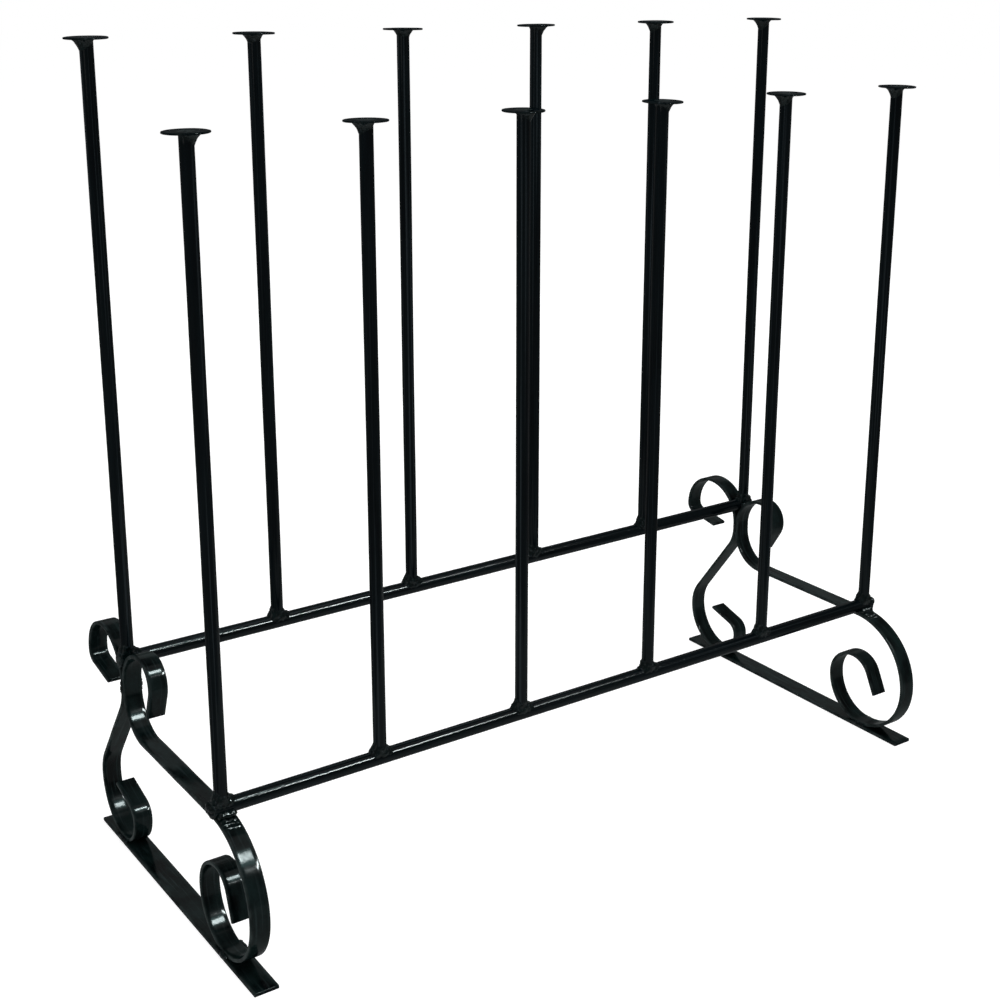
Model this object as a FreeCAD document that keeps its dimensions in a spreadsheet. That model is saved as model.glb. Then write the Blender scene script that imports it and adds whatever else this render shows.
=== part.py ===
import FreeCAD, Part
import math
import os
import re
import Sketcher

# Boot rack of welded steel rod and flat bar, in millimetres.
#
# Two rows of upright posts stand on two round rails, and each post has a disc on its top.
# An end frame is a foot bar and two scrolled strips. The strips stand back to back at a
# waist. The front one runs forward as a level arm under the front rail, and the two spread
# above the waist into a seat for the back rail.
#
# X runs along the rails, Y to the back and Z up. The origin is at floor level, midway
# along the rails and midway between the front scrolls' and the back scrolls' outer faces.

driving_sizes = {
    # posts and caps
    "post_count": 6,
    "post_spacing": 135,
    "post_diameter": 10.5,
    "post_length": 486,
    "cap_diameter": 33,
    "cap_thickness": 2,
    "cap_edge_radius": 0.6,
    # rails
    "rail_diameter": 12,
    "rail_overhang": 8.5,
    "rail_gap": 172.5,
    "front_rail_height": 122.5,
    # foot bars
    "foot_front_inset": 2,
    "foot_back_overhang": 0.5,
    "foot_width": 20,
    "foot_thickness": 3,
    "foot_corner_radius": 1,
    # scrolled strips, with every bend measured to the middle of the strip
    "strip_width": 16,
    "strip_thickness": 3,
    "waist_length": 5,
    # front scroll, from its top hook down to its curl on the foot bar
    "front_hook_tail": 23,
    "front_hook_bend": 19,
    "front_hook_turn": 32,
    "front_crest_bend": 19,
    "front_neck_bend": 33,
    "arm_bend": 34,
    "arm_overrun": 1,
    "shoulder_bend": 61,
    "front_curl_base_bend": 40,
    "front_curl_side_bend": 26.5,
    "front_curl_top_bend": 22.5,
    "front_curl_top_turn": 64,
    "front_curl_tail": 21.5,
    # back scroll, from its top hook down to its curl on the foot bar
    "back_hook_tail": 34,
    "back_hook_bend": 8.5,
    "back_hook_turn": 80,
    "back_crest_bend": 34,
    "back_neck_bend": 38,
    "back_hip_bend": 33,
    "back_lean": 37,
    "back_knee_bend": 36,
    "back_heel_bend": 41.5,
    "back_curl_side_bend": 26,
    "back_curl_top_bend": 12.5,
    "back_curl_top_turn": 73.5,
    "back_curl_tail": 28.5,
    # weld metal
    "post_weld_width": 3,
    "post_weld_height": 6,
    "post_weld_drop": 3,
    "cap_weld_width": 3.5,
    "cap_weld_height": 7,
    "arm_weld_radius": 4,
    "seat_weld_radius": 2.4,
    "waist_weld_radius": 1.6,
    "foot_weld_radius": 1.6,
    "foot_weld_length": 16,
}

doc = FreeCAD.newDocument("BootRack")
sizes = doc.addObject("Spreadsheet::Sheet", "Sizes")
for row, (alias, value) in enumerate(driving_sizes.items(), start=1):
    sizes.set(f"A{row}", alias.replace("_", " "))
    sizes.set(f"B{row}", str(value))
    sizes.setAlias(f"B{row}", alias)
doc.recompute()

# Sizes that follow from the driving ones.
rail_radius = "(rail_diameter / 2)"
post_radius = "(post_diameter / 2)"
cap_rim_radius = "min(cap_edge_radius; cap_thickness / 3)"
rail_length = "((post_count - 1) * post_spacing + 2 * rail_overhang)"
arm_height = f"(front_rail_height - {rail_radius} - strip_thickness / 2)"
waist_bottom = f"({arm_height} + arm_bend)"
waist_top = f"({waist_bottom} + waist_length)"
lowest_middle = "(foot_thickness + strip_thickness / 2)"

# The back rail touches the two strips' facing sides as they spread above the waist.
front_seat_radius = "(front_neck_bend + strip_thickness / 2)"
back_seat_radius = "(back_neck_bend + strip_thickness / 2)"
seat_shift = (
    f"({rail_radius} * ({front_seat_radius} - {back_seat_radius})"
    f" / ({front_seat_radius} + {back_seat_radius}))"
)
seat_rise = (
    f"sqrt(({front_seat_radius} + {rail_radius}) ^ 2 - ({front_seat_radius} + {seat_shift}) ^ 2)"
)
back_rail_height = f"({waist_top} + {seat_rise})"

# Distances behind the front rail, and then places along Y.
waist_depth = f"(rail_gap - {seat_shift})"
front_extent = "(arm_overrun + shoulder_bend + strip_thickness / 2)"
back_extent = f"({waist_depth} + back_neck_bend + back_crest_bend + strip_thickness)"
front_rail_y = f"(({front_extent} - {back_extent}) / 2)"
back_rail_y = f"({front_rail_y} + rail_gap)"
waist_y = f"({front_rail_y} + {waist_depth})"

# The strips stand on the middle line of the foot bars, which end flush with the rails.
strip_inset = "((foot_width - strip_width) / 2)"
foot_left = {
    "left": f"(-{rail_length} / 2)",
    "right": f"({rail_length} / 2 - foot_width)",
}
strip_left = {end: f"({place} + {strip_inset})" for end, place in foot_left.items()}

# Runs and bends of the two strips, each from the top of the waist, and where they touch the
# foot bars. A step is a run's length, or a bend's way, radius and angle. A bend that gives
# no angle is a square turn.
arm_length = f"({waist_depth} - strip_thickness / 2 - arm_bend + arm_overrun)"
front_toe_bend = f"({arm_height} - {lowest_middle} - shoulder_bend)"
lean_length = (
    f"(({waist_bottom} - {lowest_middle} - back_heel_bend"
    f" - (back_hip_bend + back_knee_bend) * sin(back_lean)) / cos(back_lean))"
)
front_touch = f"({front_rail_y} - arm_overrun - shoulder_bend + {front_toe_bend})"
heel_shift = (
    f"((back_hip_bend + back_knee_bend) * (1 - cos(back_lean)) + {lean_length} * sin(back_lean))"
)
heel_y = f"({waist_y} + strip_thickness / 2 + {heel_shift})"
back_touch = f"({heel_y} - back_heel_bend)"

# A foot bar ends just inside the front scroll's round and just behind the back scroll's heel.
foot_front_y = f"({front_rail_y} - {front_extent} + foot_front_inset)"
foot_back_y = f"({heel_y} + strip_thickness / 2 + foot_back_overhang)"
foot_length = f"({foot_back_y} - {foot_front_y})"

left_turn = 1
right_turn = -1
front_top_steps = [
    (left_turn, "front_neck_bend"),
    (left_turn, "front_crest_bend"),
    (left_turn, "front_hook_bend", "front_hook_turn"),
    "front_hook_tail",
]
front_low_steps = [
    "waist_length",
    (right_turn, "arm_bend"),
    arm_length,
    (left_turn, "shoulder_bend"),
    (left_turn, front_toe_bend),
    (left_turn, "front_curl_base_bend"),
    (left_turn, "front_curl_side_bend"),
    (left_turn, "front_curl_top_bend", "front_curl_top_turn"),
    "front_curl_tail",
]
back_top_steps = [
    (right_turn, "back_neck_bend"),
    (right_turn, "back_crest_bend"),
    (right_turn, "back_hook_bend", "back_hook_turn"),
    "back_hook_tail",
]
back_low_steps = [
    "waist_length",
    (left_turn, "back_hip_bend", "back_lean"),
    lean_length,
    (right_turn, "back_knee_bend", "back_lean"),
    (right_turn, "back_heel_bend"),
    (right_turn, "back_curl_side_bend"),
    (right_turn, "back_curl_top_bend", "back_curl_top_turn"),
    "back_curl_tail",
]

size_names = re.compile(r"\b(" + "|".join(driving_sizes) + r")\b")
upward = FreeCAD.Vector(0, 0, 1)
along_x = FreeCAD.Rotation(FreeCAD.Vector(0, 1, 0), 90)
along_minus_y = FreeCAD.Rotation(FreeCAD.Vector(1, 0, 0), 90)
origin_point = (-1, 1)
nodes = []


def cells(formula):
    """The formula, with each size's name turned into its cell of the sheet."""
    return size_names.sub(r"Sizes.\1", formula)


def measure(formula):
    """The value of a formula of the sizes."""
    return float(sizes.evalExpression(cells(formula)))


def bind(item, place, formula):
    """Ties a property of an object to a formula of the sizes."""
    item.setExpression(place, cells(formula))


def place_at(item, x, y, z, turn=FreeCAD.Rotation()):
    """Turns an object and ties its position to formulas."""
    item.Placement = FreeCAD.Placement(FreeCAD.Vector(), turn)
    bind(item, "Placement.Base.x", x)
    bind(item, "Placement.Base.y", y)
    bind(item, "Placement.Base.z", z)


def keep_node(item, label):
    """Labels a finished sub-part and lists it for export."""
    item.Label = label
    nodes.append(item)
    return item


def add_cylinder(name, radius, height, x, y, z, turn=FreeCAD.Rotation()):
    """A cylinder with its size and place tied to formulas."""
    cylinder = doc.addObject("Part::Cylinder", name)
    bind(cylinder, "Radius", radius)
    bind(cylinder, "Height", height)
    place_at(cylinder, x, y, z, turn)
    return cylinder


def add_cone(name, low_radius, high_radius, height, x, y, z):
    """An upright cone frustum with its size and place tied to formulas."""
    cone = doc.addObject("Part::Cone", name)
    bind(cone, "Radius1", low_radius)
    bind(cone, "Radius2", high_radius)
    bind(cone, "Height", height)
    place_at(cone, x, y, z)
    return cone


def add_cut(name, base, tools):
    """The base with each of the tools cut away in turn."""
    for number, tool in enumerate(tools, start=1):
        cut = doc.addObject("Part::Cut", f"{name}_cut_{number}")
        cut.Base = base
        cut.Tool = tool
        base = cut
    return base


def add_group(label, pieces):
    """One node that holds several separate solids."""
    group = doc.addObject("Part::Compound", label)
    group.Links = pieces
    return keep_node(group, label)


def add_body(label, plane_role):
    """A body and an empty sketch on one of its origin planes."""
    body = doc.addObject("PartDesign::Body", label)
    sketch = body.newObject("Sketcher::SketchObject", f"{label}_outline")
    plane = next(item for item in body.Origin.OriginFeatures if item.Role == plane_role)
    sketch.AttachmentSupport = [(plane, "")]
    sketch.MapMode = "FlatFace"
    return keep_node(body, label), sketch


def add_pad(body, sketch, length):
    """A pad of the whole sketch, to the side its plane faces."""
    pad = body.newObject("PartDesign::Pad", f"{body.Label}_pad")
    pad.Profile = sketch
    bind(pad, "Length", length)
    doc.recompute()
    return pad


def is_round(edge):
    """Whether an edge is a circle."""
    return isinstance(edge.Curve, Part.Circle)


def is_upright(edge):
    """Whether an edge runs straight up."""
    return edge.BoundBox.XLength + edge.BoundBox.YLength < edge.BoundBox.ZLength / 2


def add_fillet(body, pad, is_wanted, radius):
    """A fillet on those edges of a pad that a test picks."""
    edges = enumerate(pad.Shape.Edges, start=1)
    names = [f"Edge{number}" for number, edge in edges if is_wanted(edge)]
    fillet = body.newObject("PartDesign::Fillet", f"{body.Label}_fillet")
    fillet.Base = (pad, names)
    bind(fillet, "Radius", radius)


def bind_constraint(sketch, kind, curve, start_value, name, formula):
    """A dimension of one curve, tied to a formula."""
    index = sketch.addConstraint(Sketcher.Constraint(kind, curve, start_value))
    sketch.renameConstraint(index, name)
    bind(sketch, f"Constraints.{name}", formula)


def pin_point(sketch, point, name, across, up):
    """Ties a point's distances from the sketch's origin to two formulas."""
    for kind, formula in (("DistanceX", across), ("DistanceY", up)):
        constraint = Sketcher.Constraint(kind, *origin_point, *point, measure(formula))
        index = sketch.addConstraint(constraint)
        sketch.renameConstraint(index, f"{name}_{kind}")
        bind(sketch, f"Constraints.{name}_{kind}", formula)


def draw_face(sketch, name, start, heading, steps, side):
    """Draws one face of a bent strip, and returns its two ends.

    side is 1 for the face on the left of the way along the steps, and -1 for the other.
    """
    here = FreeCAD.Vector(measure(start[0]), measure(start[1]), 0)
    ends = []
    for number, step in enumerate(steps):
        label = f"{name}_{number}"
        along = FreeCAD.Vector(math.cos(heading), math.sin(heading), 0)
        left = FreeCAD.Vector(-along.y, along.x, 0)
        if isinstance(step, str):
            ahead = here + along * measure(step)
            curve = sketch.addGeometry(Part.LineSegment(here, ahead))
            bind_constraint(sketch, "Distance", curve, measure(step), f"{label}_length", step)
            first, last = (curve, 1), (curve, 2)
        else:
            way, radius, *angle = step
            face_radius = f"({radius} - {way * side} * strip_thickness / 2)"
            bend = measure(face_radius)
            sweep = math.radians(measure(angle[0])) if angle else math.pi / 2
            centre = here + left * (way * bend)
            out = here - centre
            start_angle = math.atan2(out.y, out.x)
            end_angle = start_angle + way * sweep
            ahead = centre + FreeCAD.Vector(math.cos(end_angle), math.sin(end_angle), 0) * bend
            circle = Part.Circle(centre, upward, bend)
            arc = Part.ArcOfCircle(circle, min(start_angle, end_angle), max(start_angle, end_angle))
            curve = sketch.addGeometry(arc)
            bind_constraint(sketch, "Radius", curve, bend, f"{label}_radius", face_radius)
            if angle:
                bind_constraint(sketch, "Angle", curve, sweep, f"{label}_angle", angle[0])
            else:
                sketch.addConstraint(Sketcher.Constraint("Angle", curve, sweep))
            first, last = ((curve, 1), (curve, 2)) if way > 0 else ((curve, 2), (curve, 1))
            heading += way * sweep
        if ends:
            sketch.addConstraint(Sketcher.Constraint("Tangent", *ends[-1], *first))
        ends += [first, last]
        here = ahead
    return ends[0], ends[-1]


def add_scroll(label, left_side, middle, top_steps, low_steps):
    """A strip bent on edge, drawn face by face from the top of the waist."""
    body, sketch = add_body(label, "YZ_Plane")
    tops = []
    bottoms = []
    for side, face in ((-1, "front_face"), (1, "back_face")):
        across = f"({middle} + {side} * strip_thickness / 2)"
        start = (across, waist_top)
        low_start, low_end = draw_face(sketch, f"{face}_low", start, -math.pi / 2, low_steps, side)
        top_start, top_end = draw_face(sketch, f"{face}_top", start, math.pi / 2, top_steps, -side)
        sketch.addConstraint(Sketcher.Constraint("Vertical", low_start[0]))
        pin_point(sketch, low_start, face, across, waist_top)
        sketch.addConstraint(Sketcher.Constraint("Tangent", *low_start, *top_start))
        tops.append(top_end)
        bottoms.append(low_end)
    for first, last in (tops, bottoms):
        corners = [sketch.getPoint(*first), sketch.getPoint(*last)]
        cut_end = sketch.addGeometry(Part.LineSegment(*corners))
        sketch.addConstraint(Sketcher.Constraint("Coincident", *first, cut_end, 1))
        sketch.addConstraint(Sketcher.Constraint("Coincident", *last, cut_end, 2))
    add_pad(body, sketch, "strip_width")
    place_at(body, left_side, front_rail_y, "0")
    return body


def add_rail(label, y, z):
    """A round bar along X, midway over the two foot bars."""
    rail = add_cylinder(label, rail_radius, rail_length, f"-{rail_length} / 2", y, z, along_x)
    return keep_node(rail, label)


def add_cap(label, x, y, z):
    """A disc with softened rims, centred on a post's top."""
    body, sketch = add_body(label, "XY_Plane")
    circle = Part.Circle(FreeCAD.Vector(), upward, measure("cap_diameter / 2"))
    curve = sketch.addGeometry(circle)
    sketch.addConstraint(Sketcher.Constraint("Coincident", curve, 3, *origin_point))
    bind_constraint(sketch, "Radius", curve, circle.Radius, "cap_radius", "cap_diameter / 2")
    pad = add_pad(body, sketch, "cap_thickness")
    add_fillet(body, pad, is_round, cap_rim_radius)
    place_at(body, x, y, z)
    return body


def add_foot_bar(label, left_side):
    """A flat bar on the floor, front to back, with softened corners."""
    body, sketch = add_body(label, "XY_Plane")
    width = measure("foot_width")
    length = measure(foot_length)
    corners = [(0, 0), (width, 0), (width, length), (0, length)]
    points = [FreeCAD.Vector(x, y, 0) for x, y in corners]
    sides = [sketch.addGeometry(Part.LineSegment(points[n - 1], points[n])) for n in (1, 2, 3, 0)]
    for number in range(4):
        following = sides[(number + 1) % 4]
        sketch.addConstraint(Sketcher.Constraint("Coincident", sides[number], 2, following, 1))
        level = "Vertical" if number % 2 else "Horizontal"
        sketch.addConstraint(Sketcher.Constraint(level, sides[number]))
    sketch.addConstraint(Sketcher.Constraint("Coincident", sides[0], 1, *origin_point))
    bind_constraint(sketch, "Distance", sides[0], width, "width", "foot_width")
    bind_constraint(sketch, "Distance", sides[1], length, "length", foot_length)
    pad = add_pad(body, sketch, "foot_thickness")
    add_fillet(body, pad, is_upright, "foot_corner_radius")
    place_at(body, left_side, foot_front_y, "0")
    return body


def add_post_row(row, y, rail_z, rail):
    """The posts, caps and welds that stand on one rail."""
    crest = f"({rail_z} + {rail_radius})"
    collar_height = "(post_weld_height + post_weld_drop)"
    collar_reach = f"({post_radius} + post_weld_width)"
    collar_bottom = f"({crest} - post_weld_drop)"
    cap_z = f"({crest} + post_length)"
    post_welds = []
    cap_welds = []
    for number in range(round(measure("post_count"))):
        x = f"(({number} - (post_count - 1) / 2) * post_spacing)"
        label = f"{row}_post_{number + 1}"
        post = add_cylinder(label, post_radius, "post_length", x, y, crest)
        keep_node(post, label)
        add_cap(f"{row}_cap_{number + 1}", x, y, cap_z)
        foot_collar = add_cone(
            f"{label}_foot_collar",
            f"{post_radius} + post_weld_width * {collar_height} / post_weld_height",
            post_radius,
            collar_height,
            x,
            y,
            collar_bottom,
        )
        across_rail = doc.addObject("Part::Box", f"{label}_collar_limit")
        bind(across_rail, "Length", f"2 * {collar_reach}")
        bind(across_rail, "Width", "rail_diameter")
        bind(across_rail, "Height", collar_height)
        place_at(across_rail, f"{x} - {collar_reach}", f"{y} - {rail_radius}", collar_bottom)
        collar = doc.addObject("Part::Common", f"{label}_collar")
        collar.Base = foot_collar
        collar.Tool = across_rail
        post_welds.append(add_cut(f"{label}_weld", collar, [rail, post]))
        cap_collar = add_cone(
            f"{label}_cap_collar",
            post_radius,
            f"{post_radius} + cap_weld_width",
            "cap_weld_height",
            x,
            y,
            f"{cap_z} - cap_weld_height",
        )
        cap_welds.append(add_cut(f"{label}_cap_weld", cap_collar, [post]))
    add_group(f"{row}_post_welds", post_welds)
    add_group(f"{row}_cap_welds", cap_welds)


def add_end_frame(end):
    """A foot bar and the two scrolls that stand on it. It returns the scrolls."""
    add_foot_bar(f"{end}_foot_bar", foot_left[end])
    front_middle = f"({waist_depth} - strip_thickness / 2)"
    back_middle = f"({waist_depth} + strip_thickness / 2)"
    front_scroll = add_scroll(
        f"{end}_front_scroll", strip_left[end], front_middle, front_top_steps, front_low_steps
    )
    back_scroll = add_scroll(
        f"{end}_back_scroll", strip_left[end], back_middle, back_top_steps, back_low_steps
    )
    return front_scroll, back_scroll


def add_arm_welds(end, rail, scroll):
    """Beads across the arm, before and behind the front rail."""
    beads = []
    for way, side in (("front", -1), ("back", 1)):
        y = f"{front_rail_y} + {side} * {rail_radius}"
        z = f"{arm_height} + strip_thickness / 2 + arm_weld_radius / 2"
        name = f"{end}_arm_bead_{way}"
        bead = add_cylinder(name, "arm_weld_radius", "strip_width", strip_left[end], y, z, along_x)
        beads.append(add_cut(name, bead, [rail, scroll]))
    return beads


def add_seat_welds(end, rail, front_scroll, back_scroll):
    """Beads across the two strips, in the notches above the lines where the back rail rests."""
    beads = []
    step = "(2 * seat_weld_radius)"
    seats = ((front_scroll, -1, front_seat_radius), (back_scroll, 1, back_seat_radius))
    for strip, side, seat_radius in seats:
        reach = f"({seat_radius} + {rail_radius})"
        level = f"(({seat_radius} - {side} * {seat_shift}) / {reach})"
        steep = f"({seat_rise} / {reach})"
        y = f"{back_rail_y} + {side} * ({rail_radius} * {level} + {step} * {steep})"
        z = f"{back_rail_height} - {rail_radius} * {steep} + {step} * {level}"
        name = f"{strip.Label}_seat_bead"
        bead = add_cylinder(name, "seat_weld_radius", "strip_width", strip_left[end], y, z, along_x)
        beads.append(add_cut(name, bead, [rail, strip]))
    return beads


def add_waist_welds(end):
    """Half-round beads up the seam between the strips, on their two edges."""
    beads = []
    for way, side, turn in (("left", 0, 90), ("right", 1, -90)):
        x = f"{strip_left[end]} + {side} * strip_width"
        name = f"{end}_waist_bead_{way}"
        facing = FreeCAD.Rotation(upward, turn)
        bead = add_cylinder(name, "waist_weld_radius", "waist_length", x, waist_y, waist_bottom, facing)
        bead.Angle = 180
        beads.append(bead)
    return beads


def add_foot_welds(end):
    """Quarter-round beads on the foot bar's ledges, beside each strip's lowest point."""
    beads = []
    for place, touch in (("front", front_touch), ("back", back_touch)):
        for way, side, turn in (("left", 0, 90), ("right", 1, 0)):
            x = f"{strip_left[end]} + {side} * strip_width"
            y = f"{touch} + foot_weld_length / 2"
            name = f"{end}_foot_bead_{place}_{way}"
            facing = along_minus_y * FreeCAD.Rotation(upward, turn)
            bead = add_cylinder(
                name, "foot_weld_radius", "foot_weld_length", x, y, "foot_thickness", facing
            )
            bead.Angle = 90
            beads.append(bead)
    return beads


front_rail = add_rail("front_rail", front_rail_y, "front_rail_height")
back_rail = add_rail("back_rail", back_rail_y, back_rail_height)
add_post_row("front", front_rail_y, "front_rail_height", front_rail)
add_post_row("back", back_rail_y, back_rail_height, back_rail)

front_rail_welds = []
back_rail_welds = []
waist_welds = []
for end in ("left", "right"):
    front_scroll, back_scroll = add_end_frame(end)
    front_rail_welds += add_arm_welds(end, front_rail, front_scroll)
    back_rail_welds += add_seat_welds(end, back_rail, front_scroll, back_scroll)
    waist_welds += add_waist_welds(end)
    add_group(f"{end}_foot_welds", add_foot_welds(end))
add_group("front_rail_welds", front_rail_welds)
add_group("back_rail_welds", back_rail_welds)
add_group("waist_welds", waist_welds)

doc.recompute()
for item in doc.Objects:
    failed = {"Invalid", "Error"} & set(item.State)
    if failed:
        raise RuntimeError(f"{item.Label} is {item.State}")
for node in nodes:
    if node.Shape.isNull() or not node.Shape.isValid():
        raise RuntimeError(f"{node.Label} has no valid shape")

os.makedirs("parts", exist_ok=True)
for node in nodes:
    node.Shape.exportStep(f"parts/{node.Label}.step")
    print(f"{node.Label}: {len(node.Shape.Solids)} solid, {node.Shape.Volume:.0f} mm3")
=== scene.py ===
import math
import random

import bmesh
import bpy
from mathutils import Matrix, Vector, noise


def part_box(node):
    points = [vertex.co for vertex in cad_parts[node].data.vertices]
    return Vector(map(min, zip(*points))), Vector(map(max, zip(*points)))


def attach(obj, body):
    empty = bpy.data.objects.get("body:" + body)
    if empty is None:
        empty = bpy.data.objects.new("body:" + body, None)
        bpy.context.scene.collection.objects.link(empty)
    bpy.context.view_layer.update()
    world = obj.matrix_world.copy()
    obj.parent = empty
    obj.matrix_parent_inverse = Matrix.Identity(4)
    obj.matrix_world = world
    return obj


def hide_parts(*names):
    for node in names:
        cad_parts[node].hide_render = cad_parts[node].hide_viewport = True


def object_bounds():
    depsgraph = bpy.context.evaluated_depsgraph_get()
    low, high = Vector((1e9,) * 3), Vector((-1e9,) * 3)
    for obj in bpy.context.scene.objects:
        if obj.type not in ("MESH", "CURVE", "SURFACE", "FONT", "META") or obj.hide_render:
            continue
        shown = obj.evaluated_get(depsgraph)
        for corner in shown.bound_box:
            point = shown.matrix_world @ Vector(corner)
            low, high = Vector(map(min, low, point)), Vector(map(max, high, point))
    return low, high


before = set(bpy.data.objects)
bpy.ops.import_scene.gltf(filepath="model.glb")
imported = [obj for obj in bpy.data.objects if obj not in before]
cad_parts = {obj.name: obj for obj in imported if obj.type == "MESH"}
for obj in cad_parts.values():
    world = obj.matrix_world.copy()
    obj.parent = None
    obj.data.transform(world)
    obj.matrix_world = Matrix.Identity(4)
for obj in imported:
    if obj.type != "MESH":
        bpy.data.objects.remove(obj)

cadLow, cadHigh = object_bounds()
mm = 0.001
up = Vector((0, 0, 1))
noiseSeed = 1     # without a seed the vector noise would start from the clock
noise.seed_set(noiseSeed)
rows = ("front", "back")
postsPerRow = 6
ends = ("left", "right")
outward = {"left": -1, "right": 1}    # along X


cameraValues = {
    "place": (-0.7587, -1.0694, 0.7236),
    "down": 0.271,    # how far it looks down, in radians
    "right": 0.601,   # how far it turns from +Y towards +X, in radians
    "lens": 57.06,
    "sensor": 36,
    "shift": -0.10,
    "nearest": 0.01,
}


def makeCamera(values):
    data = bpy.data.cameras.new("camera")
    data.lens = values["lens"]
    data.sensor_width = values["sensor"]
    data.shift_y = values["shift"]
    data.clip_start = values["nearest"]
    camera = bpy.data.objects.new("camera", data)
    camera.location = values["place"]
    camera.rotation_euler = (math.pi / 2 - values["down"], 0, -values["right"])
    bpy.context.scene.collection.objects.link(camera)
    bpy.context.scene.camera = camera


makeCamera(cameraValues)
print("camera is up")


studioValues = {
    "floorSize": 30,
    "floorColour": (0.8, 0.8, 0.8),
    "floorShade": 0.45,       # share of the floor's white that the shadow can take away
    "ambient": 0.48,
}

# A lamp with "gloss" on adds nothing to plain surfaces, only a highlight in the paint.
lampValues = {
    "ceilingPanel": {
        "place": (0.6, -0.6, 2.6), "aim": (0.6, 0, 0.2), "roll": 0, "size": (2.4, 1.2),
        "power": 34, "tint": (1, 1, 1), "gloss": False,
    },
    "leftPanel": {
        "place": (-2.4, -1.0, 1.3), "aim": (0, 0, 0.6), "roll": 0, "size": (0.9, 1.8),
        "power": 20, "tint": (1, 1, 1), "gloss": False,
    },
    "railBox": {
        "place": (1.09, -2.07, 1.96), "aim": (0, 0, 0.15), "roll": 20, "size": (0.62, 0.25),
        "power": 400, "tint": (0.9, 1, 1), "gloss": True,
    },
    "railTail": {
        "place": (1.5, -1.65, 2.1), "aim": (0, 0, 0.15), "roll": 25, "size": (0.6, 0.25),
        "power": 70, "tint": (0.9, 1, 1), "gloss": True,
    },
    "curlBox": {
        "place": (0.42, -1.32, 2.14), "aim": (-0.34, 0, 0.1), "roll": -26, "size": (0.28, 0.46),
        "power": 190, "tint": (0.88, 1, 1), "gloss": True,
    },
    "curlHalo": {
        "place": (0.44, -1.38, 2.13), "aim": (-0.34, 0, 0.1), "roll": -26, "size": (0.55, 0.9),
        "power": 30, "tint": (0.5, 1, 1), "gloss": True,
    },
    "backBox": {
        "place": (1.25, 2.1, 1.35), "aim": (0, 0, 0), "roll": 0, "size": (2.6, 1.1),
        "power": 17, "tint": (0.92, 1, 1), "gloss": False,
    },
    "floorGlow": {
        "place": (0, -0.1, 0.002), "aim": (0, -0.1, 1), "roll": 0, "size": (1.1, 0.8),
        "power": 5, "tint": (0.9, 1, 1), "gloss": True,
    },
}


# each of the two values is a number or another node's output
def addMath(tree, operation, first, second, clamp=False):
    node = tree.nodes.new("ShaderNodeMath")
    node.operation = operation
    node.use_clamp = clamp
    for number, value in enumerate((first, second)):
        if isinstance(value, (int, float)):
            node.inputs[number].default_value = value
        else:
            tree.links.new(value, node.inputs[number])
    return node.outputs[0]


# 1 for the rays that show the white surroundings: the camera's, gloss and glass
def whiteRays(tree):
    path = tree.nodes.new("ShaderNodeLightPath")
    total = path.outputs["Is Camera Ray"]
    for name in ("Is Glossy Ray", "Is Transmission Ray"):
        total = addMath(tree, "ADD", total, path.outputs[name], clamp=True)
    return total


# lights the object with one shader and shows another as the white surroundings
def splitRays(tree, outNode, lighting, shown):
    mix = tree.nodes.new("ShaderNodeMixShader")
    tree.links.new(whiteRays(tree), mix.inputs[0])
    tree.links.new(lighting.outputs[0], mix.inputs[1])
    tree.links.new(shown.outputs[0], mix.inputs[2])
    tree.links.new(mix.outputs[0], outNode.inputs[0])


def makeWorld(values):
    world = bpy.data.worlds.new("studio")
    bpy.context.scene.world = world
    world.use_nodes = True
    tree = world.node_tree
    tree.nodes.clear()
    soft = tree.nodes.new("ShaderNodeBackground")
    soft.inputs["Color"].default_value = (1, 1, 1, 1)
    soft.inputs["Strength"].default_value = values["ambient"]
    white = tree.nodes.new("ShaderNodeBackground")
    white.inputs["Color"].default_value = (1, 1, 1, 1)
    splitRays(tree, tree.nodes.new("ShaderNodeOutputWorld"), soft, white)


def makeFloor(values):
    bm = bmesh.new()
    bmesh.ops.create_grid(bm, x_segments=1, y_segments=1, size=values["floorSize"] / 2)
    mesh = bpy.data.meshes.new("floor")
    bm.to_mesh(mesh)
    bm.free()
    floor = bpy.data.objects.new("floor", mesh)
    bpy.context.scene.collection.objects.link(floor)
    material = bpy.data.materials.new("paleFloor")
    material.use_nodes = True
    tree = material.node_tree
    tree.nodes.clear()
    plain = tree.nodes.new("ShaderNodeBsdfDiffuse")
    plain.inputs["Color"].default_value = (*values["floorColour"], 1)
    shaded = tree.nodes.new("ShaderNodeBsdfDiffuse")
    shade = values["floorShade"]
    shaded.inputs["Color"].default_value = (shade, shade, shade, 1)
    glow = tree.nodes.new("ShaderNodeEmission")
    glow.inputs["Strength"].default_value = 1 - shade * values["ambient"]
    shown = tree.nodes.new("ShaderNodeAddShader")
    tree.links.new(shaded.outputs[0], shown.inputs[0])
    tree.links.new(glow.outputs[0], shown.inputs[1])
    splitRays(tree, tree.nodes.new("ShaderNodeOutputMaterial"), plain, shown)
    mesh.materials.append(material)


def makeLamp(name, values):
    data = bpy.data.lights.new(name, "AREA")
    data.shape = "RECTANGLE"
    data.size, data.size_y = values["size"]
    data.energy = values["power"]
    data.color = values["tint"]
    lamp = bpy.data.objects.new(name, data)
    lamp.location = values["place"]
    facing = (Vector(values["aim"]) - lamp.location).to_track_quat("-Z", "Y")
    roll = Matrix.Rotation(math.radians(values["roll"]), 3, "Z").to_quaternion()
    lamp.rotation_euler = (facing @ roll).to_euler()
    lamp.visible_camera = False
    lamp.visible_diffuse = not values["gloss"]
    bpy.context.scene.collection.objects.link(lamp)


bpy.context.scene.view_settings.view_transform = "Standard"
makeWorld(studioValues)
makeFloor(studioValues)
for lampName, lamp in lampValues.items():
    makeLamp(lampName, lamp)
print("studio is lit")


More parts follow.
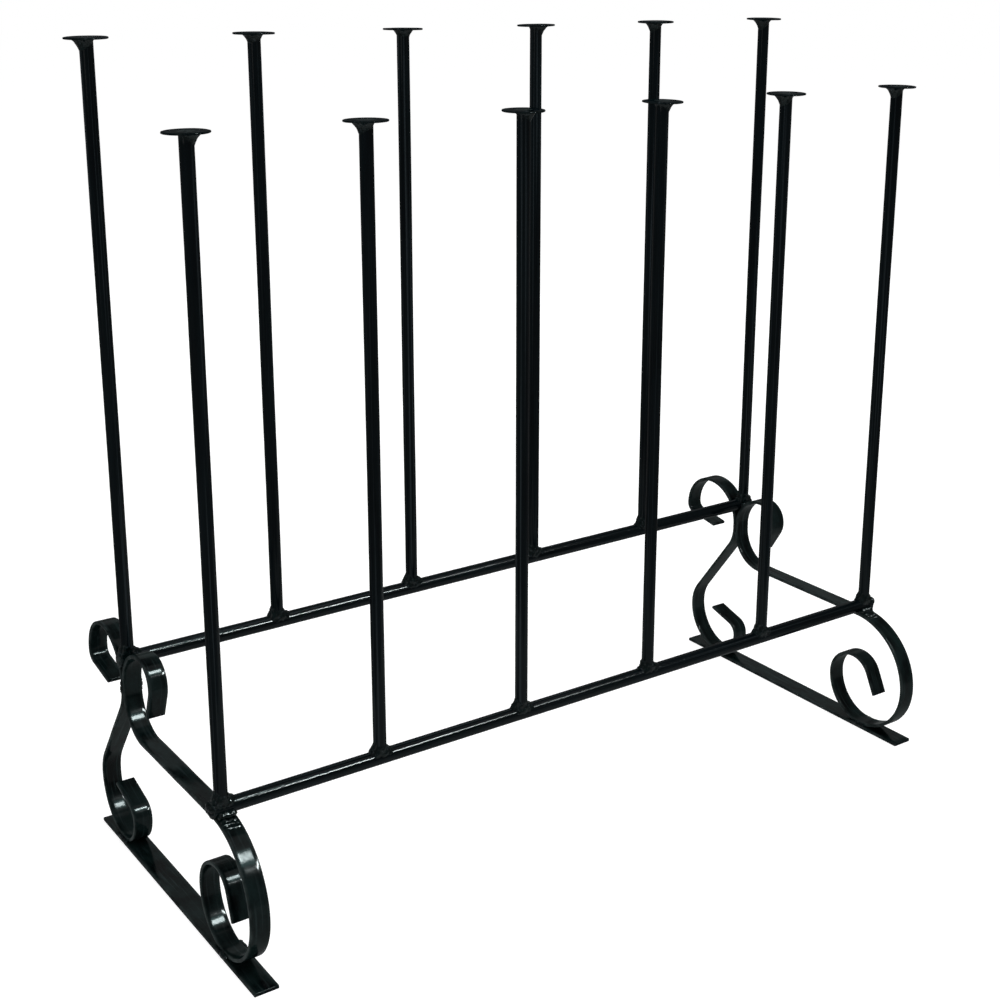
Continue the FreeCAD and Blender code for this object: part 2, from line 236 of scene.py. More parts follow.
rodPaint = {
    "dark": (0.0003, 0.0012, 0.0018),
    "light": (0.0014, 0.0034, 0.0044),
    # lighter lines along the rod: drawn marks, and also painted reflection streaks
    "streakAndSheenColour": (0.0120, 0.0165, 0.0190),
    # the colour of worn edges, and of the painted highlight on the caps' weld domes
    "wearAndHighlightColour": (0.020, 0.027, 0.027),
    "patch": (110, 110, 9),   # patches of thinner paint, per metre, drawn out along the rod
    "streak": (640, 640, 2.5),
    "streakFrom": (0.56, 0.72),   # the noise from which a streak begins and is whole
    "grain": (420, 420, 5),   # draw lines under the paint
    "grainHeight": 0.00003,
    "peel": 240,
    "peelHeight": 0.00003,
    "wearAndHighlight": (0.1, 0.9),       # how worn an edge is, and how bright the painted highlight on a cap's weld dome is, least and most
    "wearPower": 3,           # keeps the wear close to the edge
    "roughness": (0.34, 0.58),
    "gloss": 0.05,            # share of the clear top coat
    "glossRoughness": 0.10,
}
railPaint = dict(
    rodPaint, patch=(9, 110, 110), streak=(2.5, 640, 640), grain=(5, 420, 420), peelHeight=0.00015,
)
stripPaint = dict(
    rodPaint,
    dark=(0.0002, 0.0008, 0.0010),
    light=(0.0046, 0.0098, 0.0098),
    # lighter lines along the strip, partly painted reflection streaks
    streakAndSheenColour=(0.0085, 0.0145, 0.0150),
    patch=(70, 40, 40),
    streak=(420, 22, 22),
    grain=(260, 70, 70),
    grainHeight=0.00002,
    peel=90,
    peelHeight=0.00007,
    roughness=(0.30, 0.52),
    gloss=0.045,
    glossRoughness=0.12,
)
capPaint = dict(
    rodPaint, grain=(150, 150, 150), patch=(90, 90, 90), streak=(200, 200, 200), gloss=0.01,
)
weldPaint = dict(
    rodPaint,
    dark=(0.0002, 0.0016, 0.0018),
    light=(0.0014, 0.0050, 0.0052),
    patch=(300, 300, 300),
    streak=(500, 500, 500),
    grain=(230, 230, 230),
    grainHeight=0.00050,
    gloss=0.085,
    glossRoughness=0.055,
)
noiseRange = (0.35, 0.65)     # where most of a noise lies
noiseRoughness = 0.55
noiseDetail = {"patch": 4.0, "grain": 2.0, "streak": 1.0, "peel": 2.0}


def addNoise(tree, vector, scale, detail):
    node = tree.nodes.new("ShaderNodeTexNoise")
    node.inputs["Scale"].default_value = scale
    node.inputs["Detail"].default_value = detail
    node.inputs["Roughness"].default_value = noiseRoughness
    tree.links.new(vector, node.inputs["Vector"])
    return node.outputs["Fac"]


def addStretchedNoise(tree, vector, scale, detail):
    node = tree.nodes.new("ShaderNodeMapping")
    node.inputs["Scale"].default_value = scale
    tree.links.new(vector, node.inputs["Vector"])
    return addNoise(tree, node.outputs[0], 1.0, detail)


def addBump(tree, height, distance, normal=None):
    node = tree.nodes.new("ShaderNodeBump")
    node.inputs["Distance"].default_value = distance
    tree.links.new(height, node.inputs["Height"])
    if normal:
        tree.links.new(normal, node.inputs["Normal"])
    return node.outputs["Normal"]


# spreads one range of a value over another
def addRange(tree, value, onto, source=noiseRange):
    node = tree.nodes.new("ShaderNodeMapRange")
    node.inputs["From Min"].default_value, node.inputs["From Max"].default_value = source
    node.inputs["To Min"].default_value, node.inputs["To Max"].default_value = onto
    tree.links.new(value, node.inputs["Value"])
    return node.outputs["Result"]


# each of the two paints is a colour or another mix
def mixPaint(tree, factor, under, over):
    node = tree.nodes.new("ShaderNodeMix")
    node.data_type = "RGBA"
    tree.links.new(factor, node.inputs["Factor"])
    for name, paint in (("A", under), ("B", over)):
        if isinstance(paint, tuple):
            node.inputs[name].default_value = (*paint, 1)
        else:
            tree.links.new(paint, node.inputs[name])
    return node.outputs["Result"]


def makePaint(name, values):
    material = bpy.data.materials.new(name)
    material.use_nodes = True
    tree = material.node_tree
    shader = tree.nodes["Principled BSDF"]
    shader.inputs["Specular IOR Level"].default_value = 0   # all the gloss is in the top coat
    shader.inputs["Coat Weight"].default_value = values["gloss"]
    shader.inputs["Coat Roughness"].default_value = values["glossRoughness"]
    place = tree.nodes.new("ShaderNodeTexCoord").outputs["Object"]
    patches, grain, streaks = (
        addStretchedNoise(tree, place, values[key], noiseDetail[key])
        for key in ("patch", "grain", "streak")
    )
    peel = addNoise(tree, place, values["peel"], noiseDetail["peel"])

    base = mixPaint(tree, addRange(tree, patches, (0, 1)), values["dark"], values["light"])
    # thin lighter lines along the bar: partly where the paint has run and the bar was drawn, partly
    # painted reflection streaks
    drawn = mixPaint(
        tree, addRange(tree, streaks, (0, 1), values["streakFrom"]), base, values["streakAndSheenColour"]
    )
    # paint thins along the edges; the same lighter colour on each cap's weld dome is a painted
    # highlight
    edge = tree.nodes.new("ShaderNodeAttribute")
    edge.attribute_name = "edge"
    close = addMath(tree, "POWER", edge.outputs["Fac"], values["wearPower"])
    wornAndHighlit = addMath(tree, "MULTIPLY", close, addRange(tree, peel, values["wearAndHighlight"]))
    rubbedAndHighlit = mixPaint(tree, wornAndHighlit, drawn, values["wearAndHighlightColour"])
    tree.links.new(rubbedAndHighlit, shader.inputs["Base Color"])

    tree.links.new(addRange(tree, grain, values["roughness"]), shader.inputs["Roughness"])
    normal = addBump(tree, grain, values["grainHeight"])
    normal = addBump(tree, peel, values["peelHeight"], normal)
    tree.links.new(normal, shader.inputs["Normal"])
    tree.links.new(normal, shader.inputs["Coat Normal"])
    return material


paints = {
    "rod": makePaint("rodPaint", rodPaint),
    "rail": makePaint("railPaint", railPaint),
    "strip": makePaint("stripPaint", stripPaint),
    "cap": makePaint("capPaint", capPaint),
    "weld": makePaint("weldPaint", weldPaint),
}
print("paint is mixed")


# holds every point inside the rack's overall size
def keepInside(bm):
    for vert in bm.verts:
        for axis in range(3):
            vert.co[axis] = min(max(vert.co[axis], cadLow[axis]), cadHigh[axis])


def finishPiece(name, bm, paint, nodes):
    keepInside(bm)
    bmesh.ops.recalc_face_normals(bm, faces=bm.faces)
    mesh = bpy.data.meshes.new(name)
    bm.to_mesh(mesh)
    bm.free()
    mesh.shade_smooth()
    mesh.materials.append(paints[paint])
    piece = bpy.data.objects.new(name, mesh)
    bpy.context.scene.collection.objects.link(piece)
    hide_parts(*nodes)
    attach(piece, "root")


def vertsIn(made):
    return [item for item in made if isinstance(item, bmesh.types.BMVert)]


def edgesIn(made):
    return [item for item in made if isinstance(item, bmesh.types.BMEdge)]


# the edges that run along an axis, 0 to 2, for more than half of a length
def edgesAlong(bm, axis, length):
    return [e for e in bm.edges if abs(e.verts[0].co[axis] - e.verts[1].co[axis]) > length / 2]


def addRing(bm, places):
    verts = [bm.verts.new(place) for place in places]
    return verts, [bm.edges.new((verts[n - 1], verts[n])) for n in range(len(verts))]


softenValues = {
    "sharp": 0.9,       # the least angle of an edge that gets rounded, in radians
    "segments": 3,
}


# rounds the sharp edges, and marks the new corners for the wear
def softenEdges(bm, width):
    before = set(bm.verts)
    least = softenValues["sharp"]
    sharp = [e for e in bm.edges if len(e.link_faces) == 2 and e.calc_face_angle() > least]
    bmesh.ops.bevel(
        bm, geom=sharp, offset=width, segments=softenValues["segments"], profile=0.5, affect="EDGES",
        material=-1,
    )
    edge = bm.verts.layers.float.get("edge") or bm.verts.layers.float.new("edge")
    for vert in bm.verts:
        if vert not in before:
            vert[edge] = 1.0


# cuts rings or rows between the edges, where the paint is whole
def cutBetween(bm, edges, cuts):
    made = bmesh.ops.subdivide_edges(bm, edges=edges, cuts=cuts)
    edge = bm.verts.layers.float["edge"]
    for vert in vertsIn(made["geom_inner"]):
        vert[edge] = 0.0


# moves a noise aside, so that no two seeds look alike
def noiseShift(seed, steps):
    return Vector([seed * step for step in steps])


wanderSteps = (3.1, 1.7, 0.9)


# hand-worked bar is never quite true
def wander(bm, amount, pitch, seed):
    shift = noiseShift(seed, wanderSteps)
    for vert in bm.verts:
        vert.co += noise.noise_vector(vert.co / pitch + shift) * amount


rodValues = {
    "sides": 32,
    "ring": 7 * mm,        # distance between rings
    "rim": 0.7 * mm,
    "bow": 0.30 * mm,      # how far a rod strays from straight
    "bowPitch": 160 * mm,
    "bowStep": 5.3,        # from one rod's bow to the next in the noise
    "bowOff": 0.5,         # keeps off the planes where the noise is zero
    "dent": 0.05 * mm,
    "dentPitch": 9 * mm,
    "sunk": 2.5 * mm,      # a post's foot goes into its weld
    "railSeed": {"front": 40, "back": 41},
    "postSeed": {"front": 0, "back": 10},
}


def makeRod(name, node, paint, along, seed, values, sunk=0.0):
    low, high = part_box(node)
    centre = (low + high) / 2
    radius = min(high - low) / 2
    start = centre.copy()
    start[along] = low[along] - sunk
    end = centre.copy()
    end[along] = high[along]
    way = end - start
    bm = bmesh.new()
    bmesh.ops.create_cone(
        bm, cap_ends=True, segments=values["sides"], radius1=radius, radius2=radius, depth=way.length
    )
    softenEdges(bm, values["rim"])
    cutBetween(bm, edgesAlong(bm, 2, way.length), round(way.length / values["ring"]))
    turn = way.to_track_quat("Z", "Y").to_matrix().to_4x4()
    bmesh.ops.transform(bm, matrix=Matrix.Translation((start + end) / 2) @ turn, verts=bm.verts)
    wander(bm, values["dent"], values["dentPitch"], seed)
    for vert in bm.verts:
        part = (vert.co[along] - start[along]) / way.length
        held = math.sin(math.pi * min(max(part, 0), 1))       # both ends stay on their welds
        spot = Vector((
            seed * values["bowStep"], vert.co[along] / values["bowPitch"], values["bowOff"],
        ))
        sway = noise.noise_vector(spot)
        sway[along] = 0
        vert.co += sway * values["bow"] * held
    finishPiece(name, bm, paint, [node])


posts = {row: [f"{row}_post_{n}" for n in range(1, postsPerRow + 1)] for row in rows}
for row in rows:
    makeRod(f"{row}Rail", f"{row}_rail", "rail", 0, rodValues["railSeed"][row], rodValues)
    for n, node in enumerate(posts[row], 1):
        seed = rodValues["postSeed"][row] + n
        makeRod(f"{row}Post{n}", node, "rod", 2, seed, rodValues, rodValues["sunk"])
print("rails and posts are made")


capValues = {
    "steps": 56,
    "rim": 0.75 * mm,
    "rimCut": (0.3, 0.25, 0.2),   # the rounded corner as shares of the rim: inwards, below, above
    "rings": (0.5, 0.75),   # more rings under and over the disc, as shares of its radius
    "plate": 1.5 * mm,      # plate thickness, with the weld dome above it
    "domeRadius": 8 * mm,
    "domeFoot": ((1, 0.02 * mm), (0.82, 0.12 * mm)),   # share of the radius, and height
    "domeTop": 0.45,
    "warp": 0.12 * mm,
    "warpPitch": 14 * mm,
    "tilt": 0.9,            # degrees
    "tiltRoom": 0.28 * mm,
    "rimWear": 0.7,
    "rimWearWidth": 0.6,    # as a share of the rim
    # the top of the weld dome is painted lighter: a painted highlight
    "domeHighlight": 1.0,
    "domeHighlightFrom": 0.05 * mm,
    "merge": 0.001 * mm,
    "seed": {"front": 100, "back": 110},
}


def makeCap(name, node, seed, values):
    low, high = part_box(node)
    centre = (low + high) / 2
    radius = (high.x - low.x) / 2
    plate = values["plate"]
    rim = values["rim"]
    inCut, underCut, overCut = (share * rim for share in values["rimCut"])
    underRing, overRing = values["rings"]
    dome = values["domeRadius"]
    top = high.z - low.z - values["tiltRoom"]
    outline = [
        (0, 0), (radius * underRing, 0), (radius - rim, 0), (radius - inCut, underCut),
        (radius, rim),
        (radius - inCut, plate - overCut), (radius - rim, plate), (radius * overRing, plate),
        *((dome * share, plate + height) for share, height in values["domeFoot"]),
        (dome * values["domeTop"], top), (0, top),
    ]
    bm = bmesh.new()
    verts = [bm.verts.new((r, 0, z)) for r, z in outline]
    chain = [bm.edges.new(pair) for pair in zip(verts, verts[1:])]
    bmesh.ops.spin(
        bm, geom=verts + chain, cent=(0, 0, 0), axis=up, angle=2 * math.pi, steps=values["steps"],
        use_merge=True,
    )
    bmesh.ops.remove_doubles(bm, verts=bm.verts, dist=values["merge"])
    edge = bm.verts.layers.float.new("edge")
    for vert in bm.verts:
        if vert.co.xy.length > radius - values["rimWearWidth"] * rim:
            vert[edge] = values["rimWear"]
        # the weld dome's top gets the lighter colour as a painted highlight
        elif vert.co.z > plate + values["domeHighlightFrom"]:
            vert[edge] = values["domeHighlight"]
    tilt = math.radians(values["tilt"])
    rng = random.Random(seed)
    turn = Matrix.Rotation(rng.uniform(-tilt, tilt), 4, "X")
    turn = turn @ Matrix.Rotation(rng.uniform(-tilt, tilt), 4, "Y")
    move = Matrix.Translation((centre.x, centre.y, low.z))
    bmesh.ops.transform(bm, matrix=move @ turn, verts=bm.verts)
    wander(bm, values["warp"], values["warpPitch"], seed)
    finishPiece(name, bm, "cap", [node])


for row in rows:
    for n in range(1, postsPerRow + 1):
        makeCap(f"{row}Cap{n}", f"{row}_cap_{n}", capValues["seed"][row] + n, capValues)
print("caps are made")


footValues = {
    "corner": 0.6 * mm,
    "ring": 6 * mm,
    "wave": 0.12 * mm,
    "wavePitch": 22 * mm,
    "across": 5,
    "seed": {"left": 7, "right": 8},
}


def makeFootBar(name, node, seed, values):
    low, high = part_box(node)
    size = high - low
    bm = bmesh.new()
    spread = Matrix.Diagonal((*size, 1))
    bmesh.ops.create_cube(bm, size=1, matrix=Matrix.Translation((low + high) / 2) @ spread)
    softenEdges(bm, values["corner"])
    cuts = round(size.y / values["ring"])
    bmesh.ops.subdivide_edges(bm, edges=edgesAlong(bm, 1, size.y), cuts=cuts)
    cutBetween(bm, edgesAlong(bm, 0, size.x), values["across"])
    for vert in bm.verts:
        lift = noise.noise(vert.co / values["wavePitch"] + Vector((seed, 0, 0)))
        if vert.co.z > low.z + size.z / 2:
            vert.co.z -= abs(lift) * values["wave"]      # the underside stays flat on the floor
    finishPiece(name, bm, "strip", [node])


for end in ends:
    makeFootBar(f"{end}FootBar", f"{end}_foot_bar", footValues["seed"][end], footValues)
print("foot bars are made")


# Lengths are in millimetres, and radii run to the middle of the strip.
scrollValues = {
    "thickness": 3,
    "waist": 5,
    "armBend": 34,
    "square": 90,           # degrees, as the lean is
    "lean": 37,
    "hip": 33,
    "knee": 36,
    "heel": 41.5,
    "corner": 0.65,
    "step": 2.6,            # distance between rings
    "leastSteps": {"run": 1, "bend": 3},
    "wave": 0.14,
    "wavePitch": 26,
    "across": 4,
    "frontSeed": {"left": 60, "right": 61},
    "backSeed": {"left": 70, "right": 71},
}
# Each step is a run's length, or a bend's way, radius and angle in degrees. The strips are
# bent by hand, and the left front one turns down a little sooner.
frontBends = {
    "left": {
        "overrun": -5.3,     # how far the level arm runs past the rail
        "hook": [(1, 36.2, 95), (1, 18.8, 107), 22.5],
        "round": [(1, 60, 90)],
        "curl": [(1, 37.3, 100), (1, 30.3, 80), (1, 19.3, 71), 22.5],
    },
    "right": {
        "overrun": 1,
        "hook": [(1, 33, 90), (1, 19, 122), 23],
        "round": [(1, 61, 90)],
        "curl": [(1, 40, 90), (1, 26.5, 90), (1, 22.5, 64), 21.5],
    },
}
backBends = {
    "crest": [(-1, 38, 90), (-1, 34, 90), (-1, 8.5, 80), 34],
    "curl": [(-1, 26, 90), (-1, 12.5, 73.5), 28.5],
}


# carries a cross section along the runs and bends, and gives back its last ring
def bendStrip(bm, ring, place, heading, steps, values):
    for step in steps:
        if isinstance(step, tuple):
            way, radius, angle = step
            sweep = math.radians(angle)
            left = Vector((0, -math.sin(heading), math.cos(heading)))
            centre = place + left * (way * radius * mm)
            count = max(values["leastSteps"]["bend"], round(radius * sweep / values["step"]))
            made = bmesh.ops.spin(
                bm, geom=ring, cent=centre, axis=(1, 0, 0), angle=way * sweep, steps=count,
                use_merge=False,
            )
            ring = edgesIn(made["geom_last"])
            turned = Matrix.Rotation(way * sweep, 3, "X")
            place = centre + turned @ (place - centre)
            heading += way * sweep
        else:
            along = Vector((0, math.cos(heading), math.sin(heading)))
            count = max(values["leastSteps"]["run"], round(step / values["step"]))
            for _ in range(count):
                made = bmesh.ops.extrude_edge_only(bm, edges=ring)["geom"]
                ring = edgesIn(made)
                bmesh.ops.translate(bm, vec=along * (step * mm / count), verts=vertsIn(made))
            place = place + along * (step * mm)
    return ring


# how far a strip falls, and how far it runs on, over bends that start level
def bendReach(bends):
    fall = run = turned = 0
    for _, radius, angle in bends:
        after = turned + math.radians(angle)
        fall += radius * (math.cos(turned) - math.cos(after))
        run += radius * (math.sin(after) - math.sin(turned))
        turned = after
    return fall, run


def makeScroll(name, node, side, waistY, topSteps, lowSteps, seed, values):
    low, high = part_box(node)
    thick = values["thickness"] * mm
    y = waistY + side * thick / 2
    z = armHeight + (values["armBend"] + values["waist"]) * mm
    bm = bmesh.new()
    corners = [(low.x, -thick / 2), (high.x, -thick / 2), (high.x, thick / 2), (low.x, thick / 2)]
    _, ring = addRing(bm, [(x, y + off, z) for x, off in corners])
    place = Vector(((low.x + high.x) / 2, y, z))
    lowRing = bendStrip(bm, ring, place, -math.pi / 2, lowSteps, values)
    topRing = bendStrip(bm, ring, place, math.pi / 2, topSteps, values)
    for last in (lowRing, topRing):
        bmesh.ops.contextual_create(bm, geom=last)
    bmesh.ops.recalc_face_normals(bm, faces=bm.faces)
    softenEdges(bm, values["corner"] * mm)
    cutBetween(bm, edgesAlong(bm, 0, high.x - low.x), values["across"])
    wander(bm, values["wave"] * mm, values["wavePitch"] * mm, seed)
    finishPiece(name, bm, "strip", [node])


frontRailLow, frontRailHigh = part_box("front_rail")
frontRailY = (frontRailLow.y + frontRailHigh.y) / 2
armHeight = frontRailLow.z - scrollValues["thickness"] * mm / 2
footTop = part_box("left_foot_bar")[1].z
footTouch = {}    # where each front scroll stands on its foot bar


def makeScrolls(end, values):
    front = frontBends[end]
    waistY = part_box(f"{end}_front_scroll")[1].y
    lowest = footTop / mm + values["thickness"] / 2
    armLength = (waistY - frontRailY) / mm - values["thickness"] / 2 - values["armBend"]
    armLength += front["overrun"]
    fall, run = bendReach(front["round"])
    toe = armHeight / mm - lowest - fall
    footTouch[end] = frontRailY + (toe - run - front["overrun"]) * mm
    square = values["square"]
    frontLow = [
        values["waist"], (-1, values["armBend"], square), armLength, *front["round"], (1, toe, square),
        *front["curl"],
    ]
    makeScroll(
        f"{end}FrontScroll", f"{end}_front_scroll", -1, waistY, front["hook"], frontLow,
        values["frontSeed"][end], values,
    )
    lean = math.radians(values["lean"])
    bent = (values["hip"] + values["knee"]) * math.sin(lean)
    drop = armHeight / mm + values["armBend"] - lowest - values["heel"] - bent
    backLow = [
        values["waist"], (1, values["hip"], values["lean"]), drop / math.cos(lean),
        (-1, values["knee"], values["lean"]), (-1, values["heel"], square), *backBends["curl"],
    ]
    makeScroll(
        f"{end}BackScroll", f"{end}_back_scroll", 1, waistY, backBends["crest"], backLow,
        values["backSeed"][end], values,
    )


for end in ends:
    makeScrolls(end, scrollValues)
print("scrolls are bent")


# Weld metal. A skirt runs from a ring on the rod to a ring on what the rod stands on.
skirtValues = {
    "around": 44,
    "rings": 11,
    "sunk": 0.4 * mm,
    "lump": 1.35 * mm,
    "lumpPitch": 2.9 * mm,
    "lumpLift": 0.4,         # how much of a lump swells upwards
    "ripple": 0.24 * mm,     # the scales that a weld cools in
    "rippleCount": 15,
    "rippleDrift": 3,
    "uneven": 0.38,
    "least": 0.15,           # the least share of a reach or climb that is left
    "swayStep": 1.9,
    "climbSeed": 9,
    "noiseSteps": (2.3, 1.1, 3.7),
}
footSkirtValues = dict(
    skirtValues,
    reach=5.6 * mm,
    climb=6.6 * mm,
    wrap=1.15,               # how far the reach bends down over the rail
    lean=(0.15, -0.34),      # how reach and climb grow towards +X
    pinch=(2.0 * mm, 1.8 * mm),   # how close the skirt draws in, along the rail and across it
    pinchRise=2.0 * mm,
    pinchDip=2.4 * mm,
    end=0.4 * mm,            # kept clear of a rail's end
    seed={"front": 0, "back": 20},
)
# Most of each cap's weld lies on one side: 1 is towards +X.
capSkirtValues = dict(
    skirtValues,
    lump=0.45 * mm,
    ripple=0.12 * mm,
    uneven=0.20,
    reach=4.3 * mm,
    climb=6.2 * mm,
    lean=(0.74, 0.66),
    sides={"front": (1, -1, 1, 0.8, -1.1, -1), "back": (-1, -0.3, 0.2, 1, -0.7, -1)},
    pinch=0.3,
    pinchDrop=1.0 * mm,
    seed={"front": 50, "back": 70},
)


def addSkirt(bm, values, seed, curve):
    turnLayer = bm.verts.layers.float.get("turn") or bm.verts.layers.float.new("turn")
    count = values["around"]
    turns = [2 * math.pi * n / count for n in range(count)]
    verts, ring = addRing(bm, [curve(turn, 0) for turn in turns])
    for vert, turn in zip(verts, turns):
        vert[turnLayer] = turn
    first = ring
    shift = noiseShift(seed, values["noiseSteps"])
    for step in range(1, values["rings"] + 1):
        part = step / values["rings"]
        made = bmesh.ops.extrude_edge_only(bm, edges=ring)["geom"]
        ring = edgesIn(made)
        swell = math.sin(math.pi * part)
        for vert in vertsIn(made):
            turn = vert[turnLayer]
            out = Vector((math.cos(turn), math.sin(turn), values["lumpLift"]))
            place = curve(turn, part)
            spot = place / values["lumpPitch"]
            lump = noise.noise(spot + shift) * values["lump"]
            drift = values["rippleDrift"] * noise.noise(spot)
            scale = math.sin(turn * values["rippleCount"] + drift) * values["ripple"]
            vert.co = place + out * (lump + scale) * swell
    for edges in (first, ring):
        bmesh.ops.contextual_create(bm, geom=edges)


def bezier(start, control, end, part):
    return start.lerp(control, part).lerp(control.lerp(end, part), part)


def uneven(base, turn, seed, lean, values):
    sway = noise.noise(Vector((math.cos(turn), math.sin(turn), seed * values["swayStep"])))
    return base * max(values["least"], 1 + values["uneven"] * sway + lean * math.cos(turn))


# how far out and how far up the rod a skirt goes at a turn
def skirtReach(radius, turn, seed, lean, values):
    away = radius + uneven(values["reach"], turn, seed, lean[0], values)
    climb = uneven(values["climb"], turn, seed + values["climbSeed"], lean[1], values)
    return away, climb


def railShape(row):
    low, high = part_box(f"{row}_rail")
    return {"low": low, "high": high, "middle": (low + high) / 2, "radius": (high.z - low.z) / 2}


def makeFootWelds(name, row, values):
    rail = railShape(row)
    bm = bmesh.new()
    for n, node in enumerate(posts[row], 1):
        low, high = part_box(node)
        post = (low + high) / 2
        radius = (high.x - low.x) / 2
        seed = n + values["seed"][row]

        def curve(turn, part):
            away, climb = skirtReach(radius, turn, seed, values["lean"], values)
            crest = rail["high"].z
            x = post.x + away * math.cos(turn)
            x = min(max(x, rail["low"].x + values["end"]), rail["high"].x - values["end"])
            bend = away * math.sin(turn) * values["wrap"] / rail["radius"]
            hold = rail["radius"] - values["sunk"]
            end = Vector((
                x, rail["middle"].y + hold * math.sin(bend), rail["middle"].z + hold * math.cos(bend),
            ))
            grip = radius - values["sunk"]
            start = Vector((
                post.x + grip * math.cos(turn), post.y + grip * math.sin(turn), crest + climb,
            ))
            control = Vector((
                post.x + (radius + values["pinch"][0]) * math.cos(turn),
                post.y + (radius + values["pinch"][1]) * math.sin(turn),
                crest + values["pinchRise"] - values["pinchDip"] * math.sin(turn) ** 2,
            ))
            return bezier(start, control, end, part)

        addSkirt(bm, values, seed, curve)
    finishPiece(name, bm, "weld", [f"{row}_post_welds"])


def makeCapWelds(name, row, values):
    bm = bmesh.new()
    for n, node in enumerate(posts[row], 1):
        low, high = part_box(node)
        post = (low + high) / 2
        radius = (high.x - low.x) / 2
        seed = n + values["seed"][row]
        lean = [share * values["sides"][row][n - 1] for share in values["lean"]]

        def curve(turn, part):
            away, climb = skirtReach(radius, turn, seed, lean, values)
            ring = Vector((math.cos(turn), math.sin(turn), 0))
            foot = Vector((post.x, post.y, high.z))
            start = foot + ring * away + up * values["sunk"]
            drawn = radius + values["pinch"] * (away - radius)
            control = foot + ring * drawn - up * values["pinchDrop"]
            end = foot + ring * (radius - values["sunk"]) - up * climb
            return bezier(start, control, end, part)

        addSkirt(bm, values, seed, curve)
    finishPiece(name, bm, "weld", [f"{row}_cap_welds"])


for row in rows:
    makeFootWelds(f"{row}PostWelds", row, footSkirtValues)
    makeCapWelds(f"{row}CapWelds", row, capSkirtValues)
print("post welds are laid")


# Beads are short lumpy bars, laid where two pieces touch.
beadValues = {
    "around": 18,
    "pitch": 0.9 * mm,       # distance between rings
    "leastRings": 5,
    "tip": 0.15,             # how thick a bead's two ends are, as a share of the radius
    "tipPower": 6,           # how blunt they are
    "scale": 0.13,           # depth of the ripples, as a share of the radius
    "scaleLength": 2.2 * mm,
    "lump": 0.42,
    "lumpPitch": 2.6 * mm,
    "noiseSteps": (1.7, 2.9, 0.7),
}


def addBead(bm, start, end, radius, seed, values):
    placed = bm.verts.layers.int.get("placed") or bm.verts.layers.int.new("placed")
    way = end - start
    turned = way.to_track_quat("Z", "Y").to_matrix().to_4x4()
    bmesh.ops.create_cone(
        bm, cap_ends=True, segments=values["around"], radius1=radius, radius2=radius, depth=way.length
    )
    long = [e for e in edgesAlong(bm, 2, way.length) if not e.verts[0][placed]]
    cuts = max(values["leastRings"], round(way.length / values["pitch"]))
    bmesh.ops.subdivide_edges(bm, edges=long, cuts=cuts)
    verts = [v for v in bm.verts if not v[placed]]
    shift = noiseShift(seed, values["noiseSteps"])
    for vert in verts:
        along = vert.co.z / way.length + 0.5
        blunt = math.sqrt(max(0.0, 1 - abs(2 * along - 1) ** values["tipPower"]))
        tip = blunt * (1 - values["tip"]) + values["tip"]
        ripple = 1 + values["scale"] * math.sin(2 * math.pi * vert.co.z / values["scaleLength"])
        lump = 1 + values["lump"] * noise.noise(vert.co / values["lumpPitch"] + shift)
        vert.co.x *= tip * ripple * lump
        vert.co.y *= tip * ripple * lump
        vert[placed] = 1
    bmesh.ops.transform(bm, matrix=Matrix.Translation((start + end) / 2) @ turned, verts=verts)


# In these, a number without a unit is a share of the bead's own radius, or of the rail's.
railBeadValues = dict(
    beadValues,
    inset=0.6 * mm,          # kept clear of the strip's edges
    endSeed=3,
    backSeed=11,
    armRadius=3.6 * mm,      # beads between the front rail and the level arm
    armSide=0.92,
    armLift=0.45,
    seatRadius=2.5 * mm,     # beads between the back rail and the strips beside it
    seatSide=0.35,
    seatLift=1.1 * mm,
    roundBeads=((9, 0.85, 31), (12.5, 0.75, 37), (16, 0.5, 43)),   # way past the rail in mm, size, seed
    roundSunk=0.35,
    roundFall=0.4 * mm,
    cornerRadius=2.0 * mm,   # fills the corner between rail and strip
    cornerInset=1.2 * mm,
    cornerLift=0.35,
    cornerReach=(0.9, 0.6),  # how far it goes forward and back
    cornerSeed=47,
    endRadius=3.5 * mm,      # the welds over the front rail's end
    endOut=2.0 * mm,
    endSunk=0.8,
    endBeads=((-2.6 * mm, 0.5, 51), (1.8 * mm, 1.0, 57)),   # height, share of the way out, seed
)


# where a front scroll's two edges lie, each drawn in by the inset
def stripEdges(end, inset):
    low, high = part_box(f"{end}_front_scroll")
    return low.x + inset, high.x - inset


# the two beads that hold a rail's end to its strip
def addHoldBeads(bm, row, end, endNumber, values):
    rail = railShape(row)
    xFrom, xTo = stripEdges(end, values["inset"])
    for way in (-1, 1):
        seed = values["endSeed"] * endNumber + way
        if row == "front":
            bead = values["armRadius"]
            y = rail["middle"].y + way * rail["radius"] * values["armSide"]
            z = rail["low"].z + bead * values["armLift"]
        else:
            bead = values["seatRadius"]
            y = rail["middle"].y + way * (rail["radius"] + bead * values["seatSide"])
            z = rail["middle"].z + values["seatLift"]
            seed += values["backSeed"]
        addBead(bm, Vector((xFrom, y, z)), Vector((xTo, y, z)), bead, seed, values)


# the beads on the front round, just past the rail
def addRoundBeads(bm, end, endNumber, values):
    rail = railShape("front")
    xFrom, xTo = stripEdges(end, values["inset"])
    overrun = frontBends[end]["overrun"]
    shoulder = frontBends[end]["round"][0][1] * mm
    outside = shoulder + scrollValues["thickness"] * mm / 2
    for past, share, seed in values["roundBeads"]:
        turn = (past - overrun) * mm / outside
        bead = values["armRadius"] * share
        reach = outside - bead * values["roundSunk"]
        y = rail["middle"].y - overrun * mm - reach * math.sin(turn)
        z = armHeight - shoulder + reach * math.cos(turn)
        start = Vector((xFrom, y, z))
        finish = Vector((xTo, y, z - values["roundFall"]))
        addBead(bm, start, finish, bead, seed + endNumber, values)


